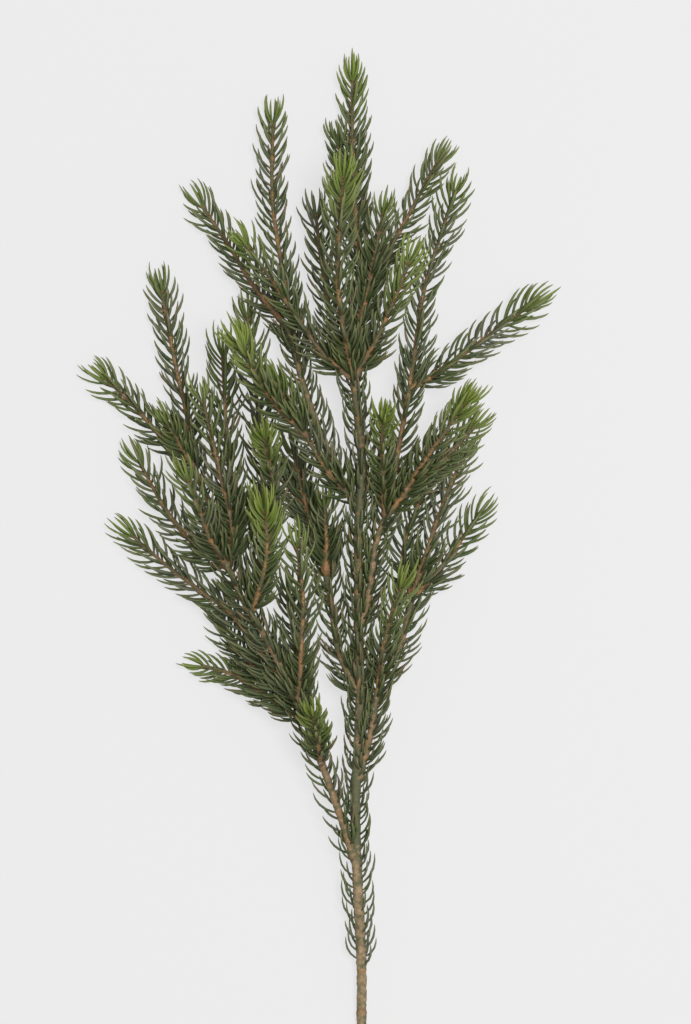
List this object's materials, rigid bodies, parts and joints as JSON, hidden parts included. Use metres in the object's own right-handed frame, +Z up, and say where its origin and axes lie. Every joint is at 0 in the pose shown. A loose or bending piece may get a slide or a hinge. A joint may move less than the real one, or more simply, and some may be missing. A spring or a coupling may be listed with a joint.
{
  "type": "spruce branch",
  "caption": "Cut spruce branch lying flat: a forked brown stem with green needled sprigs.",
  "frame": {"origin": "middle of the branch's footprint, on the surface it lies on", "axes": "+Z up from the surface, +Y from the cut end towards the tip, +X to the right seen from above"},
  "size_m": [0.3024, 0.6988, 0.0993],
  "materials": {
    "bark": "dull orange-brown bark with olive green stretches",
    "needles": "soft satin green, paler yellow-green at the sprig tips"
  },
  "bodies": {
    "root": {"main_stem": "bark", "left_limb": "bark", "left_outer_limb": "bark", "right_lower_limb": "bark", "right_limb": "bark", "upper_left_limb": "bark", "middle_left_limb": "bark", "leader_sprig": "needles", "whorl_front_sprig": "needles", "whorl_left_sprig": "needles", "whorl_right_sprig": "needles", "leader_side_sprig": "needles", "leader_small_sprig": "needles", "leader_back_sprig": "needles", "whorl_back_sprig": "needles", "upper_left_tip_sprig": "needles", "upper_left_upright_sprig": "needles", "right_tall_sprig": "needles", "right_tall_side_sprig": "needles", "right_inner_sprig": "needles", "right_outer_sprig": "needles", "right_front_sprig": "needles", "right_back_sprig": "needles", "lower_right_tip_sprig": "needles", "lower_right_outer_sprig": "needles", "lower_right_inner_sprig": "needles", "middle_front_sprig": "needles", "middle_front_bright_sprig": "needles", "middle_left_tip_sprig": "needles", "middle_left_dark_sprig": "needles", "middle_left_back_sprig": "needles", "left_back_sprig": "needles", "left_bright_short_sprig": "needles", "left_tall_sprig": "needles", "left_upright_sprig": "needles", "left_outer_tall_sprig": "needles", "left_outer_tip_sprig": "needles", "left_outer_small_sprig": "needles", "left_middle_sprig": "needles", "left_front_sprig": "needles", "left_bright_sprig": "needles", "left_low_sprig": "needles", "left_low_back_sprig": "needles", "left_inner_sprig": "needles", "left_inner_back_sprig": "needles", "left_lowest_sprig": "needles", "left_short_sprig": "needles"}
  },
  "joints": []
}
